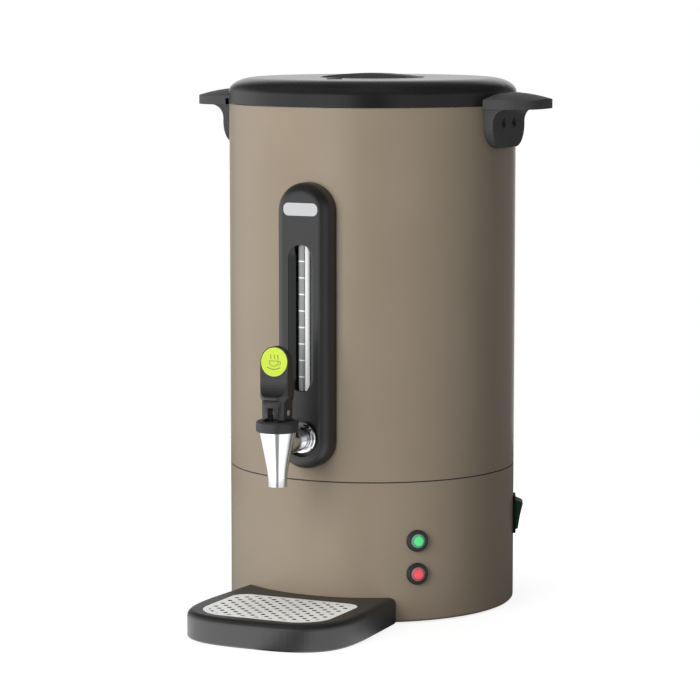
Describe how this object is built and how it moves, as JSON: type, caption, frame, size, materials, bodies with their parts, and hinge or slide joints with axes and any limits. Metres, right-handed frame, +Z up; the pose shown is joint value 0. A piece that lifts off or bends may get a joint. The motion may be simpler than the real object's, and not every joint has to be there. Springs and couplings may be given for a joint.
{
  "type": "coffee urn",
  "caption": "Coffee urn with a taupe painted steel body, black twist-lock lid and side handles, level gauge, self-closing tap, pilot lamps, rocker switch and drip tray.",
  "frame": {"origin": "on the body's upright axis, in the plane of the table the foot ring stands on", "axes": "+Z up along the body's axis; -Y towards the tap and drip tray; +X towards the pilot lamps' side"},
  "size_m": [0.313, 0.357, 0.4443],
  "materials": {
    "taupe_paint": "satin",
    "black_plastic": "satin",
    "stainless": "brushed",
    "chrome": "polished",
    "badge_silver": "satin",
    "black_rubber": "matte",
    "silicone": "matte",
    "brass": "plain",
    "clear_tube": "clear",
    "green_lens": "gloss",
    "red_lens": "gloss",
    "rocker_green": "gloss",
    "lime_disc": "gloss",
    "cast_aluminium": "cast",
    "element_sheath": "heat dulled",
    "terminal_plastic": "matte",
    "lead_insulation": "matte"
  },
  "bodies": {
    "urn": {"base_shell": "taupe_paint", "outer_shell": "taupe_paint", "joining_ring": "black_plastic", "support_ring": "stainless", "bottom_plate": "stainless", "bottom_screws": "stainless", "foot_ring": "black_rubber", "kettle": "stainless", "heat_plate": "cast_aluminium", "heating_element": "element_sheath", "thermostat": "black_plastic", "thermal_cutout": "black_plastic", "terminal_block": "terminal_plastic", "wiring": "lead_insulation", "mains_inlet": "black_plastic", "inlet_pins": "brass", "green_lamp_bezel": "black_plastic", "green_lamp_lens": "green_lens", "red_lamp_bezel": "black_plastic", "red_lamp_lens": "red_lens", "lamp_nuts": "black_plastic", "switch_frame": "black_plastic", "gauge_panel": "black_plastic", "panel_screws": "stainless", "badge_plate": "badge_silver", "gauge_tube": "clear_tube", "gauge_tee": "black_plastic", "gauge_cap": "black_plastic", "gauge_seals": "silicone", "tap_body": "chrome", "tap_nut": "chrome", "shank_spacer": "black_plastic", "shank_washer": "silicone", "shank_nut": "brass", "tap_bonnet": "black_plastic", "valve_spring": "stainless", "right_handle": "black_plastic", "left_handle": "black_plastic", "handle_screws": "stainless", "handle_strips": "stainless"},
    "lid_ring": {"lid_seal": "silicone"},
    "lid": {"lid_shell": "black_plastic", "lid_grip": "black_plastic", "grip_screws": "stainless"},
    "valve": {"valve_stem": "stainless", "seat_cup": "silicone", "lever_pin": "stainless"},
    "lever": {"tap_lever": "black_plastic", "lever_disc": "lime_disc"},
    "rocker": {"switch_rocker": "rocker_green"},
    "insert": {"pump_tube": "stainless", "pump_bell": "stainless", "filter_basket": "stainless"},
    "cover": {"basket_cover": "stainless"},
    "tray": {"drip_tray": "black_plastic"},
    "grid": {"drip_grid": "stainless"}
  },
  "joints": [
    {"name": "lid_lift", "type": "slide", "parent": "urn", "child": "lid_ring", "axis": [0, 0, 1], "range_m": [0, 0.12]},
    {"name": "lid_turn", "type": "hinge", "parent": "lid_ring", "child": "lid", "pos_m": [0, 0, 0], "axis": [0, 0, 1], "range_deg": [-8, 0]},
    {"name": "stem_lift", "type": "slide", "parent": "urn", "child": "valve", "axis": [0, 0, 1], "range_m": [0, 0.0045], "deforming": ["valve_spring"]},
    {"name": "lever_tilt", "type": "hinge", "parent": "valve", "child": "lever", "pos_m": [0, -0.1785, 0.1805], "axis": [1, 0, 0], "range_deg": [0, 42], "stiffness_Nm_per_rad": 0.6, "springref_deg": -5.73},
    {"name": "rocker_tilt", "type": "hinge", "parent": "urn", "child": "rocker", "pos_m": [0.11, 0.04669, 0.072], "axis": [-0.3907, 0.9205, 0], "range_deg": [-22, 0]},
    {"name": "insert_lift", "type": "slide", "parent": "urn", "child": "insert", "axis": [0, 0, 1], "range_m": [0, 0.012]},
    {"name": "cover_lift", "type": "slide", "parent": "insert", "child": "cover", "axis": [0, 0, 1], "range_m": [0, 0.012]},
    {"name": "tray_slide", "type": "slide", "parent": "urn", "child": "tray", "axis": [0, -1, 0], "range_m": [0, 0.12]},
    {"name": "grid_lift", "type": "slide", "parent": "tray", "child": "grid", "axis": [0, 0, 1], "range_m": [0, 0.05]}
  ],
  "couplings": [
    {"joint": "lever_tilt", "follows": "stem_lift", "rad_per_m": 162.9}
  ]
}
